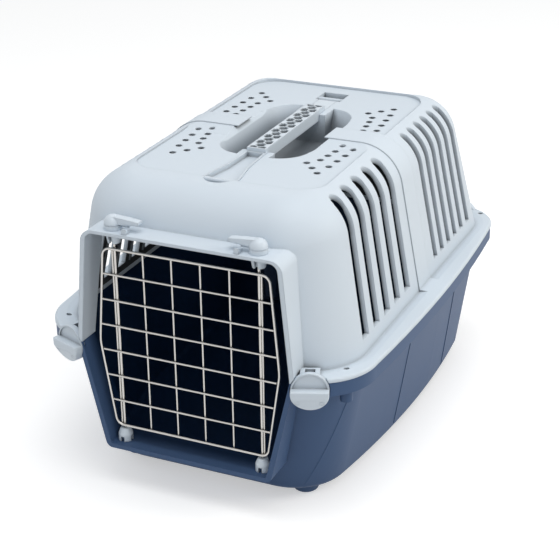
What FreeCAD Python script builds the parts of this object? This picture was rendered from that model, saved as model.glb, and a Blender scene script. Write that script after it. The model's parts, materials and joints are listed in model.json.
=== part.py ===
"""Moulded pet carrier: two plastic shells, a wire door with two locks, four turn knobs and a top grip.

Millimetres. +Z is up, the door faces -Y, and the origin is on the floor under the middle of the rim.
"""
import FreeCAD, Part
import math
import os

# Rim where the two shells meet
rim_half_width = 172.5
rim_bow = 7.0
rim_half_length = 228.0
rim_front_corner_radius = 60.0
rim_rear_corner_radius = 50.0
split_height = 150.0
seam_clearance = 0.2
shell_wall = 2.6
flange_thickness = 4.0
flange_edge_radius = 2.0
skirt_depth = 14.0
skirt_inset = 0.8

# Lower shell
floor_height = 10.0
tray_foot_half_width = 140.0
tray_foot_front_drop = 26.0
tray_foot_rear_drop = 8.0
tray_foot_half_length = 192.0
tray_top_half_width = 157.0
tray_top_drop = 6.0
tray_top_half_length = 213.0
tray_bow_middle = 30.0
tray_front_corner_radius = 55.0
tray_rear_corner_radius = 40.0
tray_floor_edge_radius = 7.0
foot_radius = 12.0
foot_top_radius = 15.0
foot_spacing_x = 184.0
foot_spacing_y = 326.0
rib_relief = 0.5
rib_middle = 13.0
rib_pitch = 142.0
rib_count = 3
rib_top_width = 94.0
rib_foot_width = 92.0
rib_lean = 10.0
rib_top_gap = 4.0

# Upper shell
roof_height = 301.0
dome_foot_half_width = 150.0
dome_foot_half_length = 213.0
dome_top_half_width = 122.0
dome_top_front = 206.0
dome_top_rear = 188.0
dome_front_corner_radius = 60.0
dome_rear_corner_radius = 44.0
roof_edge_radius = 44.0
pattern_middle = 7.0
belt_width = 32.0
belt_relief = 1.0
panel_depth = 3.0
panel_half_width = 97.0
panel_front = -150.0
panel_rear = 158.0
panel_corner_radius = 28.0
panel_ramp = 22.0
gutter_width = 9.0
gutter_depth = 2.0

# Corner holes in the rim and the bosses under them
corner_hole_radius = 2.6
corner_hole_x = 145.0
corner_hole_front = -192.0
corner_hole_rear = 211.0
corner_boss_radius = 6.0
corner_boss_length = 28.0

# Air openings
vent_foot_height = 166.0
vent_top_reach = 106.0
vent_lean = 14.0
vent_collar_wall = 2.0
front_vent_width = 15.0
front_vent_depth = 4.5
front_vent_count = 5
front_vent_first = -149.0
front_vent_pitch = 28.0
rear_vent_width = 10.5
rear_vent_depth = 8.0
rear_vent_count = 6
rear_vent_first = 49.0
rear_vent_pitch = 21.2
air_hole_radius = 3.1
air_hole_flare = 3.0

# Rows of roof holes in one quarter: place of the first from the middle of the pattern, step, and count
slanted_hole_row = ((56.0, 81.0), (10.0, 11.0), 3)
inner_hole_row = ((71.0, 27.0), (-2.0, 14.0), 4)
outer_hole_row = ((84.0, 32.0), (-1.5, 17.0), 4)

# Doorway through both shells, a six-sided opening that is widest at the rim
door_front = -232.0
doorway_top_height = 263.0
doorway_floor_height = 46.0
doorway_top_half_width = 95.5
doorway_middle_half_width = 106.5
doorway_floor_half_width = 81.5
doorway_top_radius = 8.0
doorway_middle_radius = 16.0
doorway_floor_radius = 2.4
jamb_width = 4.5
ledge_thickness = 3.0
doorway_depth = 52.0

# Door of welded wire, hung on two upright rods
lock_half_spacing = 72.8
lock_setback = 13.0
rod_radius = 1.5
wire_radius = 1.0
frame_wire_radius = 1.3
weld_depth = 0.1
wire_gap = 0.05
row_end_relief = 0.6
door_top_height = 246.2
row_pitch = 26.2
row_count = 6
door_top_half_width = 84.0
door_middle_half_width = 92.5
door_bottom_half_width = 79.5
door_corner_radius = 8.0
middle_corner_radius = 40.0
pin_depth = 7.0
column_count = 4

# Door locks and bottom bushes
fit_clearance = 0.05
lock_base_radius = 8.5
lock_base_height = 4.7
lock_collar_radius = 8.0
lock_collar_tip_radius = 6.0
lock_collar_length = 10.5
plunger_radius = 3.0
plunger_recess = 1.0
plunger_cover = 4.0
rod_tip_gap = 1.5
slot_play = 0.6
lock_neck_step = 0.5
lock_travel = 10.0
dome_cap_height = 8.8
lever_length = 28.0
lever_width = 8.0
lever_thickness = 2.6
lever_web = 1.8
lever_tip_rise = 3.0
lever_knee = 17.0
lever_knee_drop = 1.0
lever_root_rise = 0.3
lever_knee_rise = 1.6
lever_crown_drop = 1.0
web_clearance = 3.4
web_near = 0.6
ramp_near = 6.0
ramp_width = 4.5
ramp_start = 3.0
ramp_length = 8.0
ramp_low = 2.6
ramp_high = 5.4
bush_radius = 7.0
bush_tip_radius = 4.6
bush_height = 13.0
bush_straight = 7.2
bush_slot_cover = 2.0
bush_boss_radius = 4.2
bush_boss_height = 5.0
slot_width = 3.6

# Turn knobs, each in a round seat cut into a corner of the rim
knob_radius = 17.5
knob_disc_thickness = 3.0
knob_grip_height = 11.5
knob_grip_foot = 4.0
knob_ridge_width = 5.0
knob_rim_width = 1.6
knob_rim_rise = 1.4
knob_edge_radius = 1.2
knob_axis_drop = 7.0
knob_splay = 21.0
knob_inset_x = 50.5
knob_inset_y = 6.0
knob_gap = 0.5
knob_seat_gap = 0.8
knob_shank_radius = 5.0
knob_shank_length = 8.0
knob_boss_step = 2.0
knob_boss_length = 30.0
knob_arch_depth = 2.0
knob_arch_step = 1.0
pad_half_width = 9.0
pad_setback = 0.5
pad_depth = 12.5
pad_slot_lead = 2.0
pad_slot_length = 8.0
pad_rise = 3.5

# Top grip and the hollow under it
bowl_half_width = 47.0
bowl_half_length = 82.0
bowl_depth = 31.0
bowl_draft = 9.0
bowl_corner_radius = 42.0
bowl_floor_radius = 14.0
bowl_edge = 3.0
pier_half_width = 17.0
pier_front_length = 14.0
pier_rear_length = 24.0
grip_half_width = 10.0
grip_height = 12.0
grip_side_wall = 1.8
grip_floor = 2.0
grip_rise = 5.0
grip_front = -67.0
cell_side = 6.0
cell_wall = 1.2
cell_count = 8
strap_bar_radius = 2.4
strap_bar_front = -146.5
strap_bar_rear = 122.0
front_bar_half_length = 18.0
flare_shoulder = 12.0
flare_neck = 40.0
flare_slack = 1.5
rear_bar_half_length = 14.0
strap_plate_thickness = 2.0
strap_channel_depth = 6.0
trough_rise = 1.2
strap_pocket_radius = 15.0
strap_pocket_depth = 10.0
rear_pocket_lead = 9.0
rear_pocket_length = 17.0

# Values that follow from the driving dimensions
flange_under = split_height + seam_clearance
flange_top = flange_under + flange_thickness
ledge_top = doorway_top_height + ledge_thickness
lock_y = door_front + lock_setback
panel_level = roof_height - panel_depth
door_bottom_height = door_top_height - (row_count + 1) * row_pitch
row_y = lock_y - rod_radius - wire_radius + weld_depth
frame_wire_y = lock_y - rod_radius - frame_wire_radius + weld_depth
column_y = row_y + 2 * wire_radius - weld_depth
bush_foot = doorway_floor_height + seam_clearance
bush_top = bush_foot + bush_height
rod_foot = bush_top - pin_depth
collar_foot = doorway_top_height - lock_collar_length
rod_top = collar_foot + lock_travel - rod_tip_gap
slot_top = rod_top + slot_play
plunger_foot = collar_foot + plunger_recess
lever_under = ledge_top + lock_base_height + seam_clearance
grip_top = panel_level + grip_rise
pier_top = grip_top - grip_height - seam_clearance
grip_rear = grip_front + cell_count * 3 * cell_side + 2 * grip_side_wall
channel_floor = panel_level - strap_channel_depth
belt_front = pattern_middle - belt_width / 2
belt_rear = pattern_middle + belt_width / 2
knob_axis_z = split_height - knob_axis_drop
far = 400.0


def vec(x, y, z):
    return FreeCAD.Vector(x, y, z)


def box(low, high):
    """Block between two opposite corners."""
    size = [b - a for a, b in zip(low, high)]
    return Part.makeBox(size[0], size[1], size[2], vec(*low))


def cylinder(radius, base, direction, length):
    return Part.makeCylinder(radius, length, vec(*base), vec(*direction))


def fuse(shapes):
    """One solid from shapes that touch or overlap."""
    return shapes[0].multiFuse(shapes[1:]).removeSplitter()


def mirrored(shape):
    """The same shape on the other side of the middle plane."""
    return shape.mirror(vec(0, 0, 0), vec(1, 0, 0))


def rounded_wire(points, radii):
    """Closed wire through points in order, with an arc of its own radius at each corner."""
    count = len(points)
    edges = []
    ends = []
    for i in range(count):
        corner = points[i]
        before = (points[i - 1] - corner).normalize()
        after = (points[(i + 1) % count] - corner).normalize()
        half_angle = before.getAngle(after) / 2
        reach = radii[i] / math.tan(half_angle)
        middle_way = (before + after).normalize()
        to_arc = radii[i] / math.sin(half_angle) - radii[i]
        start = corner + before * reach
        end = corner + after * reach
        edges.append(Part.Arc(start, corner + middle_way * to_arc, end).toShape())
        ends.append((start, end))
    lines = []
    for i in range(count):
        start = ends[i][1]
        end = ends[(i + 1) % count][0]
        if start.distanceToPoint(end) > 0.001:
            lines.append(Part.LineSegment(start, end).toShape())
    return Part.Wire(Part.__sortEdges__(edges + lines))


def rounded_plan(half_width, front, rear, front_radius, rear_radius, height):
    """Level rounded rectangle with one radius for its front corners and one for its rear corners."""
    corners = [vec(-half_width, front, height), vec(half_width, front, height),
               vec(half_width, rear, height), vec(-half_width, rear, height)]
    return rounded_wire(corners, [front_radius, front_radius, rear_radius, rear_radius])


def plan_prism(half_width, front, rear, front_radius, rear_radius, low, high):
    """Upright block with a rounded rectangle as its plan."""
    face = Part.Face(rounded_plan(half_width, front, rear, front_radius, rear_radius, low))
    return face.extrude(vec(0, 0, high - low))


def flared_block(half_width, front, rear, front_radius, rear_radius, level, width, depth):
    """Block that widens upwards: at level it has grown by width, and depth below that it has the plan given."""
    plans = []
    for steps in (0, 2):
        grow = steps * width
        plans.append(rounded_plan(half_width + grow, front - grow, rear + grow, front_radius + grow,
                                  rear_radius + grow, level + (steps - 1) * depth))
    return Part.makeLoft(plans, True, True)


def plan_corners(half_width, front, rear, height):
    points = [vec(-half_width, front, height), vec(half_width, front, height),
              vec(half_width, rear, height), vec(-half_width, rear, height)]
    return Part.makePolygon(points + points[:1])


def bowed_plan(half_width, front_drop, rear_drop, front, rear, height):
    """Closed plan whose long sides bow out to half_width and draw in by their drops at the ends."""
    front_half = half_width - front_drop
    rear_half = half_width - rear_drop
    right = Part.Arc(vec(front_half, front, height), vec(half_width, tray_bow_middle, height),
                     vec(rear_half, rear, height)).toShape()
    left = Part.Arc(vec(-rear_half, rear, height), vec(-half_width, tray_bow_middle, height),
                    vec(-front_half, front, height)).toShape()
    front_line = Part.LineSegment(vec(-front_half, front, height), vec(front_half, front, height)).toShape()
    rear_line = Part.LineSegment(vec(rear_half, rear, height), vec(-rear_half, rear, height)).toShape()
    return Part.Wire([front_line, right, rear_line, left])


def tapered_block(low, high, front_radius, rear_radius, top_radius=0.0, foot_radius=0.0,
                  plan=plan_corners):
    """Block with drafted sides between two plans, whose last three values are front, rear and height."""
    block = Part.makeLoft([plan(*low), plan(*high)], True, True)
    for radius, end in ((front_radius, low[-3]), (rear_radius, low[-2])):
        uprights = [e for e in block.Edges if abs(e.Vertexes[0].Z - e.Vertexes[1].Z) > 1.0
                    and any(abs(v.Y - end) < 0.01 and abs(v.Z - low[-1]) < 0.01 for v in e.Vertexes)]
        block = block.makeFillet(radius, uprights)
    for radius, height in ((top_radius, high[-1]), (foot_radius, low[-1])):
        if radius > 0:
            loop = [e for e in block.Edges if all(abs(v.Z - height) < 0.01 for v in e.Vertexes)]
            block = block.makeFillet(radius, loop)
    return block


def rim_prism(inset, low, high):
    """Slice of the rim's outline, drawn in by inset. Its long sides bow out between the corners."""
    end_half_width = rim_half_width - rim_bow - inset
    block = plan_prism(end_half_width, inset - rim_half_length, rim_half_length - inset,
                       rim_front_corner_radius - inset, rim_rear_corner_radius - inset, low, high)
    start = vec(end_half_width, rim_front_corner_radius - rim_half_length, low)
    end = vec(end_half_width, rim_half_length - rim_rear_corner_radius, low)
    outer = Part.Arc(start, vec(end_half_width + rim_bow, (start.y + end.y) / 2, low), end).toShape()
    inner = Part.makePolygon([end, vec(0, end.y, low), vec(0, start.y, low), start])
    side = Part.Face(Part.Wire([outer] + inner.Edges)).extrude(vec(0, 0, high - low))
    return fuse([block, side, mirrored(side)])


def tray_block(inset, top):
    """Outside of the lower shell's tub, drawn in by inset. It carries on upwards to top with its draft."""
    rise = (top - floor_height) / (split_height - floor_height)
    half_width = tray_foot_half_width + (tray_top_half_width - tray_foot_half_width) * rise - inset
    half_length = tray_foot_half_length + (tray_top_half_length - tray_foot_half_length) * rise - inset
    front_drop = tray_foot_front_drop + (tray_top_drop - tray_foot_front_drop) * rise
    rear_drop = tray_foot_rear_drop + (tray_top_drop - tray_foot_rear_drop) * rise
    foot = (tray_foot_half_width - inset, tray_foot_front_drop, tray_foot_rear_drop,
            inset - tray_foot_half_length, tray_foot_half_length - inset, floor_height + inset)
    head = (half_width, front_drop, rear_drop, -half_length, half_length, top)
    return tapered_block(foot, head, tray_front_corner_radius - inset, tray_rear_corner_radius - inset,
                         foot_radius=tray_floor_edge_radius - inset, plan=bowed_plan)


def dome_block(inset):
    """Outside of the upper shell's dome, drawn in by inset."""
    foot = (dome_foot_half_width - inset, inset - dome_foot_half_length, dome_foot_half_length - inset,
            split_height)
    top = (dome_top_half_width - inset, inset - dome_top_front, dome_top_rear - inset, roof_height - inset)
    return tapered_block(foot, top, dome_front_corner_radius - inset, dome_rear_corner_radius - inset,
                         top_radius=roof_edge_radius - inset)


def doorway_prism(grow, ledge, front, depth):
    """Six-sided prism of the doorway, grown sideways by grow and above and below by ledge."""
    top = doorway_top_height + ledge
    bottom = doorway_floor_height - grow
    outline = [(doorway_top_half_width + grow, top), (doorway_middle_half_width + grow, split_height),
               (doorway_floor_half_width + grow, bottom)]
    right = [vec(x, front, z) for x, z in outline]
    left = [vec(-x, front, z) for x, z in reversed(outline)]
    radii = [doorway_top_radius + grow, doorway_middle_radius + grow, doorway_floor_radius + grow]
    face = Part.Face(rounded_wire(right + left, radii + radii[::-1]))
    return face.extrude(vec(0, depth, 0))


def above_split(shape):
    return shape.common(box((-far, -far, flange_under), (far, far, far)))


def below_split(shape):
    return shape.common(box((-far, -far, -far), (far, far, split_height)))


def corner_spots():
    """Plan places of the four corner holes."""
    return [(sx * corner_hole_x, y) for sx in (-1, 1) for y in (corner_hole_front, corner_hole_rear)]


def knob_spots():
    """Plan place and turn about Z of each knob's seat, whose axis runs along -Y before it is turned."""
    x = rim_half_width - knob_inset_x
    y = rim_half_length - knob_inset_y
    return {"front_left": (-x, -y, -knob_splay), "front_right": (x, -y, knob_splay),
            "rear_left": (-x, y, 180 + knob_splay), "rear_right": (x, y, 180 - knob_splay)}


def set_at_knob(shape, spot):
    """Move a shape drawn about the origin, facing -Y, to a knob's place on the rim."""
    x, y, turn = spot
    placed = shape.copy()
    placed.rotate(vec(0, 0, 0), vec(0, 0, 1), turn)
    placed.translate(vec(x, y, knob_axis_z))
    return placed


def knob_seats():
    """Round clearances that run outwards from the plane each knob sits on."""
    seat = cylinder(knob_radius + knob_seat_gap, (0, 0, 0), (0, -1, 0), far)
    return [set_at_knob(seat, spot) for spot in knob_spots().values()]


def side_ribs():
    """Broad flat ribs on both side walls of the tub, which lean forwards at the foot."""
    relief = tray_block(-rib_relief, split_height).cut(tray_block(shell_wall / 2, split_height + 1))
    top = split_height - skirt_depth - rib_top_gap
    bottom = floor_height + tray_floor_edge_radius
    first = rib_middle - rib_pitch * (rib_count - 1) / 2
    bars = []
    for i in range(rib_count):
        y = first + i * rib_pitch
        foot = y - rib_lean
        points = [vec(-far, foot - rib_foot_width / 2, bottom), vec(-far, foot + rib_foot_width / 2, bottom),
                  vec(-far, y + rib_top_width / 2, top), vec(-far, y - rib_top_width / 2, top)]
        face = Part.Face(Part.makePolygon(points + points[:1]))
        bars.append(face.extrude(vec(2 * far, 0, 0)))
    return relief.common(Part.makeCompound(bars))


def feet():
    """Round feet under the tub, each with a rounded underside."""
    shapes = []
    for sx in (-1, 1):
        for sy in (-1, 1):
            base = vec(sx * foot_spacing_x / 2, sy * foot_spacing_y / 2, 0)
            foot = Part.makeCone(foot_radius, foot_top_radius, floor_height + shell_wall, base)
            rim = [e for e in foot.Edges if e.BoundBox.ZMax < 0.01]
            shapes.append(foot.makeFillet(floor_height / 3, rim))
    return shapes


def make_lower_shell():
    """Tub with its skirted rim, the lower half of the doorway, feet, bosses and knob sockets."""
    skirt = rim_prism(skirt_inset, split_height - skirt_depth, split_height)
    skirt = skirt.cut(rim_prism(skirt_inset + shell_wall, 0, split_height - shell_wall))
    threshold = doorway_prism(jamb_width, ledge_thickness, door_front, doorway_depth)
    bosses = [cylinder(corner_boss_radius, (x, y, split_height - corner_boss_length), (0, 0, 1),
                       corner_boss_length) for x, y in corner_spots()]
    socket = cylinder(knob_radius - knob_boss_step, (0, 0, 0), (0, 1, 0), knob_boss_length)
    sockets = [below_split(set_at_knob(socket, spot)) for spot in knob_spots().values()]
    outside = fuse([tray_block(0, split_height), skirt, below_split(threshold), side_ribs()]
                   + feet() + bosses + sockets)
    inside = fuse([tray_block(shell_wall, split_height + 1),
                   doorway_prism(0, 0, door_front - 1, doorway_depth + 1)])
    shell = outside.cut(inside)
    pins = []
    for sx in (-1, 1):
        pins.append(cylinder(bush_boss_radius, (sx * lock_half_spacing, lock_y, doorway_floor_height - 1),
                             (0, 0, 1), bush_boss_height + 1))
    shell = fuse([shell] + pins)
    cuts = [cylinder(corner_hole_radius, (x, y, split_height - corner_boss_length + shell_wall), (0, 0, 1), far)
             for x, y in corner_spots()]
    bore = cylinder(knob_shank_radius + fit_clearance, (0, -1, 0), (0, 1, 0), knob_shank_length + knob_gap + 1)
    cuts += [set_at_knob(bore, spot) for spot in knob_spots().values()]
    return shell.cut(Part.makeCompound(cuts + knob_seats()))


def vent_slots(grow, width, first, pitch, count):
    """Row of slots on both sides, grown by grow, from a round end on the roof's edge down to a level foot."""
    half = width / 2 + grow
    reach = vent_top_reach + half - grow
    lean = vent_lean / (dome_foot_half_length - pattern_middle)
    slots = []
    for i in range(count):
        foot = first + i * pitch
        top = foot + (pattern_middle - foot) * lean
        low = vent_foot_height - grow
        points = [vec(reach, foot - half, low), vec(reach, foot + half, low),
                  vec(reach, top + half, roof_height), vec(reach, top - half, roof_height)]
        face = Part.Face(Part.makePolygon(points + points[:1]))
        slot = face.extrude(vec(dome_foot_half_width, 0, 0))
        end = cylinder(half, (reach, top, roof_height - roof_edge_radius), (0, 0, 1), roof_edge_radius)
        slot = slot.fuse(end)
        slots += [slot, mirrored(slot)]
    return slots


def front_vents(grow):
    return vent_slots(grow, front_vent_width, front_vent_first, front_vent_pitch, front_vent_count)


def rear_vents(grow):
    return vent_slots(grow, rear_vent_width, rear_vent_first, rear_vent_pitch, rear_vent_count)


def vent_collars():
    """Inward collars that make the side slots deep, and deeper at the rear."""
    collars = []
    for depth, slots in ((front_vent_depth, front_vents(vent_collar_wall)),
                         (rear_vent_depth, rear_vents(vent_collar_wall))):
        skin = dome_block(0).cut(dome_block(depth))
        collars += [skin.common(slot) for slot in slots]
    return collars


def air_hole_places():
    """Plan places of the roof holes in one quarter, measured from the middle of the pattern."""
    places = []
    for first, step, count in (slanted_hole_row, inner_hole_row, outer_hole_row):
        places += [(first[0] + i * step[0], first[1] + i * step[1]) for i in range(count)]
    return places


def air_hole_cutters():
    """Round holes through the roof panel that widen inwards."""
    cutters = []
    for x, y in air_hole_places():
        for sx in (-1, 1):
            for sy in (-1, 1):
                plan = (sx * x, pattern_middle + sy * y)
                under = vec(*plan, panel_level - shell_wall)
                flare = Part.makeCone(air_hole_radius + air_hole_flare, air_hole_radius, shell_wall, under)
                cutters += [flare, cylinder(air_hole_radius, (*plan, panel_level), (0, 0, 1), panel_depth + 1)]
    return cutters


def bowl_block(grow, pier_height, edge=0.0):
    """Hand hollow under the grip, grown by grow and with a sloping edge, without the two piers at its ends."""
    floor = panel_level - bowl_depth
    low = (bowl_half_width - bowl_draft + grow, pattern_middle - bowl_half_length + bowl_draft - grow,
           pattern_middle + bowl_half_length - bowl_draft + grow, floor - grow)
    high = (bowl_half_width + grow, pattern_middle - bowl_half_length - grow,
            pattern_middle + bowl_half_length + grow, panel_level)
    corner_radius = bowl_corner_radius - bowl_draft + grow
    block = tapered_block(low, high, corner_radius, corner_radius, foot_radius=bowl_floor_radius + grow)
    if edge > 0:
        drawn_in = bowl_draft * edge / bowl_depth
        radius = bowl_corner_radius - drawn_in
        mouth = flared_block(bowl_half_width - drawn_in, pattern_middle - bowl_half_length + drawn_in,
                             pattern_middle + bowl_half_length - drawn_in, radius, radius, panel_level, edge, edge)
        block = fuse([block, mouth])
    half = pier_half_width - grow
    front_face = pattern_middle - bowl_half_length + pier_front_length - grow
    rear_face = pattern_middle + bowl_half_length - pier_rear_length + grow
    front_pier = box((-half, front_face - far, 0), (half, front_face, pier_height))
    rear_pier = box((-half, rear_face, 0), (half, rear_face + far, pier_height))
    return block.cut(front_pier).cut(rear_pier)


def bowl_mouth():
    """Opening of the hand hollow through the belt, which stands above the panel."""
    return box((-bowl_half_width, belt_front - panel_ramp, panel_level), (bowl_half_width, belt_rear, far))


def grip_channel():
    """Room for the grip in the tops of the two piers."""
    half = grip_half_width + seam_clearance
    return box((-half, grip_front - seam_clearance, pier_top), (half, grip_rear + seam_clearance, far))


def flare_outline(grow, level):
    """Outline of the strap plate in front of the grip: wide at its bar, then waisted down to the grip's width."""
    wide = front_bar_half_length + grow
    narrow = grip_half_width + grow
    outline = [(wide, strap_bar_front - grow), (wide - flare_slack, strap_bar_front + flare_shoulder),
               (narrow + flare_slack, strap_bar_front + flare_neck), (narrow, grip_front + grow)]
    right = [vec(x, y, level) for x, y in outline]
    left = [vec(-x, y, level) for x, y in reversed(outline)]
    return right + left


def prism(points, height):
    """Upright block on a level polygon."""
    return Part.Face(Part.makePolygon(points + points[:1])).extrude(vec(0, 0, height))


def strap_channels(grow, top):
    """Sunk channels for the strap plates, grown by grow, from under their floors up to top."""
    low = channel_floor - grow
    side = seam_clearance + grow
    flare = prism(flare_outline(side, low), top - low)
    half = front_bar_half_length + side
    reach = strap_bar_radius + side
    front_bar = box((-half, strap_bar_front - reach, low), (half, strap_bar_front + reach, top))
    half = grip_half_width + side
    tail = box((-half, grip_rear - side, low), (half, strap_bar_rear - rear_pocket_lead + side, top))
    return [flare, front_bar, tail]


def strap_pockets(grow, top):
    """Hollows at the two strap bars, grown by grow: round at the front and square at the back."""
    low = panel_level - strap_pocket_depth - grow
    front = cylinder(strap_pocket_radius + grow, (0, strap_bar_front, low), (0, 0, 1), top - low)
    half = rear_bar_half_length + grow
    rear = box((-half, strap_bar_rear - rear_pocket_lead - grow, low),
               (half, strap_bar_rear + rear_pocket_length + grow, top))
    return [front, rear]


def flange_pads():
    """Raised arches behind the knobs, with a pad behind each front one, and the square slots in the pads."""
    pads = []
    slots = []
    arch = cylinder(knob_radius - knob_arch_step, (0, 0, 0), (0, 1, 0), knob_arch_depth)
    pad = box((-pad_half_width, pad_setback, 0),
              (pad_half_width, pad_setback + pad_depth, flange_top + pad_rise - knob_axis_z))
    slot_start = pad_setback + pad_slot_lead
    slot = box((-pad_half_width / 2, slot_start, 0), (pad_half_width / 2, slot_start + pad_slot_length, far))
    for name, spot in knob_spots().items():
        pads.append(above_split(set_at_knob(arch, spot)))
        if name.startswith("front"):
            pads.append(above_split(set_at_knob(pad, spot)))
            slots.append(above_split(set_at_knob(slot, spot)))
    return pads, slots


def gutter_cutter():
    """Shallow valley in the flange along the foot of the dome, deepest at the dome."""
    return flared_block(dome_foot_half_width, -dome_foot_half_length, dome_foot_half_length,
                        dome_front_corner_radius, dome_rear_corner_radius, flange_top, gutter_width, gutter_depth)


def panel_cutter():
    """Sunk part of the roof: level, with a ramp up to the belt from the front and a step down behind the belt."""
    outline = plan_prism(panel_half_width, panel_front, panel_rear, panel_corner_radius, panel_corner_radius,
                         panel_level, far)
    points = [vec(-far, belt_front - panel_ramp, panel_level), vec(-far, belt_front, roof_height),
              vec(-far, belt_rear, roof_height), vec(-far, belt_rear, panel_level)]
    ramp = Part.Face(Part.makePolygon(points + points[:1])).extrude(vec(2 * far, 0, 0))
    belt_room = box((-far, belt_front, roof_height), (far, belt_rear, far))
    return outline.cut(ramp).cut(belt_room)


def make_upper_shell():
    """Dome with its flange and gutter, the hood over the door, air openings and the hand hollow."""
    flange = rim_prism(0, flange_under, flange_top)
    upper_edge = [e for e in flange.Edges if all(abs(v.Z - flange_top) < 0.01 for v in e.Vertexes)]
    flange = flange.makeFillet(flange_edge_radius, upper_edge)
    belt_slab = box((-far, belt_front, flange_under), (far, belt_rear, far))
    belt = dome_block(-belt_relief).common(belt_slab)
    belt_foot = flange.common(belt_slab)
    pads, slots = flange_pads()
    hood = above_split(doorway_prism(jamb_width, ledge_thickness, door_front, doorway_depth))
    dome = fuse([above_split(dome_block(0)), belt]).cut(panel_cutter())
    dome = fuse([dome, belt_foot, flange.cut(gutter_cutter()), hood] + pads)
    ceiling = box((-far, -far, panel_level - shell_wall), (far, far, far))
    inside = fuse([dome_block(shell_wall).cut(ceiling),
                   doorway_prism(0, 0, door_front - 1, doorway_depth + 1)])
    shell = dome.cut(inside)
    shell = fuse([shell, bowl_block(shell_wall, pier_top - shell_wall)] + strap_pockets(shell_wall, panel_level)
                 + strap_channels(shell_wall, panel_level) + vent_collars())
    cuts = [bowl_block(0, far, bowl_edge), bowl_mouth(), grip_channel()] + strap_pockets(0, far) + strap_channels(0, far)
    cuts += slots + front_vents(0) + rear_vents(0) + air_hole_cutters() + knob_seats()
    cuts += [cylinder(corner_hole_radius, (x, y, 0), (0, 0, 1), flange_top + 1) for x, y in corner_spots()]
    cuts += [cylinder(lock_collar_radius - lock_neck_step + fit_clearance,
                      (sx * lock_half_spacing, lock_y, split_height),
                      (0, 0, 1), ledge_top + 1 - split_height) for sx in (-1, 1)]
    shell = shell.cut(Part.makeCompound(cuts))
    half = rear_bar_half_length + shell_wall / 2
    rear_bar = cylinder(strap_bar_radius, (-half, strap_bar_rear, panel_level - strap_bar_radius), (1, 0, 0), 2 * half)
    return fuse([shell, rear_bar] + [lock_place(make_ramp(), side) for side in (-1, 1)])


def cell_prism(x, y, low):
    """One six-sided pocket of the grip."""
    reach = cell_side - cell_wall / math.sqrt(3)
    points = []
    for k in range(6):
        angle = math.radians(60 * k + 90)
        points.append(vec(x + reach * math.cos(angle), y + reach * math.sin(angle), low))
    return prism(points, grip_height)


def make_grip():
    """Honeycomb beam over the hand hollow."""
    low = grip_top - grip_height
    grip = box((-grip_half_width, grip_front, low), (grip_half_width, grip_rear, grip_top))
    inner = grip_half_width - grip_side_wall
    well = box((-inner, grip_front + grip_side_wall, low + grip_floor),
               (inner, grip_rear - grip_side_wall, grip_top + 1))
    step = 3 * cell_side
    first = (grip_front + grip_rear) / 2 - step * (cell_count - 1) / 2
    side_offset = cell_side * math.sqrt(3) / 2
    centres = [(0, first + i * step) for i in range(cell_count)]
    centres += [(sx * side_offset, first + (i - 0.5) * step) for sx in (-1, 1) for i in range(cell_count + 1)]
    cells = [cell_prism(x, y, low + grip_floor) for x, y in centres]
    return grip.cut(Part.makeCompound(cells).common(well))


def make_carry_handle():
    """Grip with a flared, walled strap plate and a bar in front, and a level tail behind."""
    low = channel_floor + seam_clearance
    top = panel_level + trough_rise
    flare = prism(flare_outline(0, low), top - low)
    trough = flare_outline(-grip_side_wall, low + strap_plate_thickness)
    flare = flare.cut(prism(trough, far))
    tail = box((-grip_half_width, grip_rear, low), (grip_half_width, strap_bar_rear - rear_pocket_lead, panel_level))
    bar = cylinder(strap_bar_radius, (-front_bar_half_length, strap_bar_front, top - strap_bar_radius), (1, 0, 0),
                   2 * front_bar_half_length)
    return fuse([make_grip(), flare, tail, bar])


def lock_place(shape, side):
    """Shape drawn about the left lock's axis, put at its side: -1 is left and 1 is right."""
    placed = shape.copy()
    placed.translate(vec(-lock_half_spacing, lock_y, 0))
    return placed if side < 0 else mirrored(placed)


def make_ramp():
    """Wedge on the ledge that lifts the lever's web as the arm swings out to the front."""
    near = lock_base_radius + ramp_near
    low = ledge_top - ledge_thickness / 2
    points = [vec(near, -ramp_start, low), vec(near, -ramp_start, ledge_top + ramp_low),
              vec(near, -ramp_start - ramp_length, ledge_top + ramp_high), vec(near, -ramp_start - ramp_length, low)]
    face = Part.Face(Part.makePolygon(points + points[:1]))
    return face.extrude(vec(ramp_width, 0, 0))


def make_guide_sleeve():
    """Base on the hood's ledge, with a slotted, tapered collar under it that the plunger runs in."""
    base = cylinder(lock_base_radius, (0, 0, ledge_top), (0, 0, 1), lock_base_height)
    neck = cylinder(lock_collar_radius - lock_neck_step, (0, 0, doorway_top_height - seam_clearance), (0, 0, 1),
                    ledge_thickness + seam_clearance)
    collar = Part.makeCone(lock_collar_tip_radius, lock_collar_radius, lock_collar_length - seam_clearance,
                           vec(0, 0, collar_foot))
    sleeve = fuse([base, neck, collar])
    bore = cylinder(plunger_radius + fit_clearance, (0, 0, 0), (0, 0, 1), far)
    front_slot = box((-slot_width / 2, -far, 0), (slot_width / 2, 0, slot_top))
    return sleeve.cut(bore).cut(front_slot)


def make_plunger():
    """Pin of the lock, with a socket in its foot for the top of the door's rod."""
    top = lever_under + dome_cap_height - plunger_cover
    stem = cylinder(plunger_radius, (0, 0, plunger_foot), (0, 0, 1), top - plunger_foot)
    socket = cylinder(rod_radius + fit_clearance, (0, 0, 0), (0, 0, 1), rod_top + slot_play)
    return stem.cut(socket)


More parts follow.
